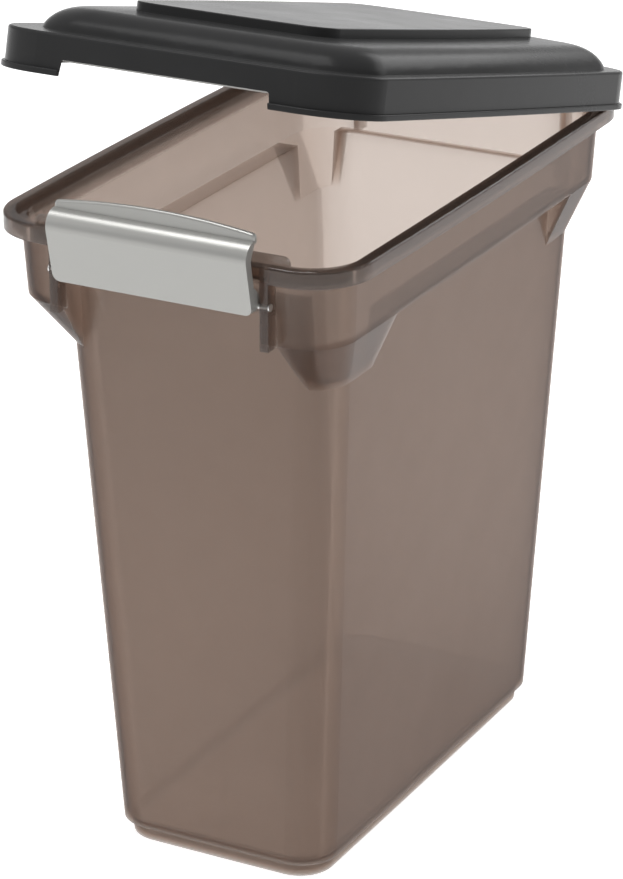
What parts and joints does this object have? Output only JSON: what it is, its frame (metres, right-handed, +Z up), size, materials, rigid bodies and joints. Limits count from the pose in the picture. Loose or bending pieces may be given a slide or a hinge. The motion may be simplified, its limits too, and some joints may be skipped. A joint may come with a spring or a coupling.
{
  "type": "pet food bin",
  "caption": "Airtight pet food bin with a tapered translucent container, a hinged domed lid with a raised panel, and a swing-up front latch.",
  "frame": {"origin": "middle of the flat base, on the surface it stands on, below the middle of the rim", "axes": "+Z up, -Y out of the latch side, +Y out of the hinge side, X along the front"},
  "size_m": [0.2608, 0.4436, 0.561],
  "materials": {
    "smoke_plastic": "satin",
    "lid_plastic": "satin",
    "seal_rubber": "matte",
    "latch_plastic": "satin",
    "pin_steel": "satin"
  },
  "bodies": {
    "bin": {"bin_body": "smoke_plastic", "latch_pin_left": "pin_steel", "latch_pin_right": "pin_steel", "hinge_pin_left": "pin_steel", "hinge_pin_right": "pin_steel"},
    "lid": {"lid_shell": "lid_plastic", "lid_seal": "seal_rubber"},
    "latch": {"front_latch": "latch_plastic"}
  },
  "joints": [
    {"name": "lid_hinge", "type": "hinge", "parent": "bin", "child": "lid", "pos_m": [0, 0.211, 0.43], "axis": [-1, 0, 0], "range_deg": [-14.2, 120]},
    {"name": "latch_hinge", "type": "hinge", "parent": "bin", "child": "latch", "pos_m": [0, -0.2085, 0.414], "axis": [1, 0, 0], "range_deg": [0, 120]}
  ]
}
